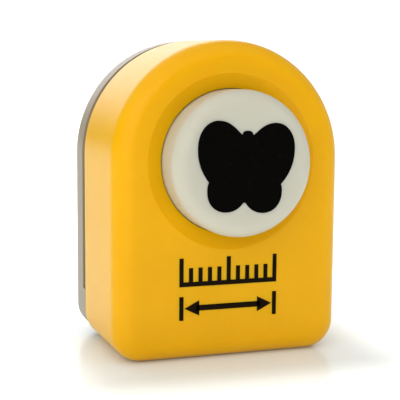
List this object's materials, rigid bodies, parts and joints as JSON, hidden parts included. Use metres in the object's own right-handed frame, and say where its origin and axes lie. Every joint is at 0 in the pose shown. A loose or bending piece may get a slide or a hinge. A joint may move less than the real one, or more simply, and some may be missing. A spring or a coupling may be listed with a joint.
{
  "type": "craft punch",
  "caption": "Hand punch with a rounded tombstone body and a paper slot; a sprung round button drives a butterfly-shaped cutter through a die.",
  "frame": {"origin": "middle of the bounding box seen from above, at the level of the flat end the punch stands on", "axes": "+Z from the flat end up to the arched end, -Y out of the button's face, +X to the right when facing the button"},
  "size_m": [0.047, 0.0384, 0.0617],
  "materials": {
    "cover_plastic": "satin moulded",
    "base_plastic": "satin moulded",
    "button_plastic": "satin moulded",
    "label_black": "matt printed",
    "plate_metal": "die cast",
    "tool_steel": "ground",
    "spring_steel": "zinc plated",
    "screw_steel": "zinc plated"
  },
  "bodies": {
    "housing": {"cover": "cover_plastic", "base": "base_plastic", "guide_plate": "plate_metal", "die_plate": "tool_steel", "throat_spacer": "plate_metal", "return_spring": "spring_steel", "case_screw_left": "screw_steel", "case_screw_right": "screw_steel", "base_screw_left": "screw_steel", "base_screw_right": "screw_steel", "die_screw_left": "screw_steel", "die_screw_right": "screw_steel", "guide_screw_left": "screw_steel", "guide_screw_right": "screw_steel", "dowel_left": "tool_steel", "dowel_right": "tool_steel"},
    "plunger": {"button_cap": "button_plastic", "butterfly_label": "label_black", "cutter": "tool_steel", "cutter_carrier": "plate_metal", "cutter_screw_left": "screw_steel", "cutter_screw_right": "screw_steel", "carrier_screw_1": "screw_steel", "carrier_screw_2": "screw_steel", "carrier_screw_3": "screw_steel"}
  },
  "joints": [
    {"name": "button_press", "type": "slide", "parent": "housing", "child": "plunger", "axis": [0, 1, 0], "range_m": [0, 0.0062], "stiffness_N_per_m": 900, "springref_m": -0.003, "deforming": ["return_spring"]}
  ]
}
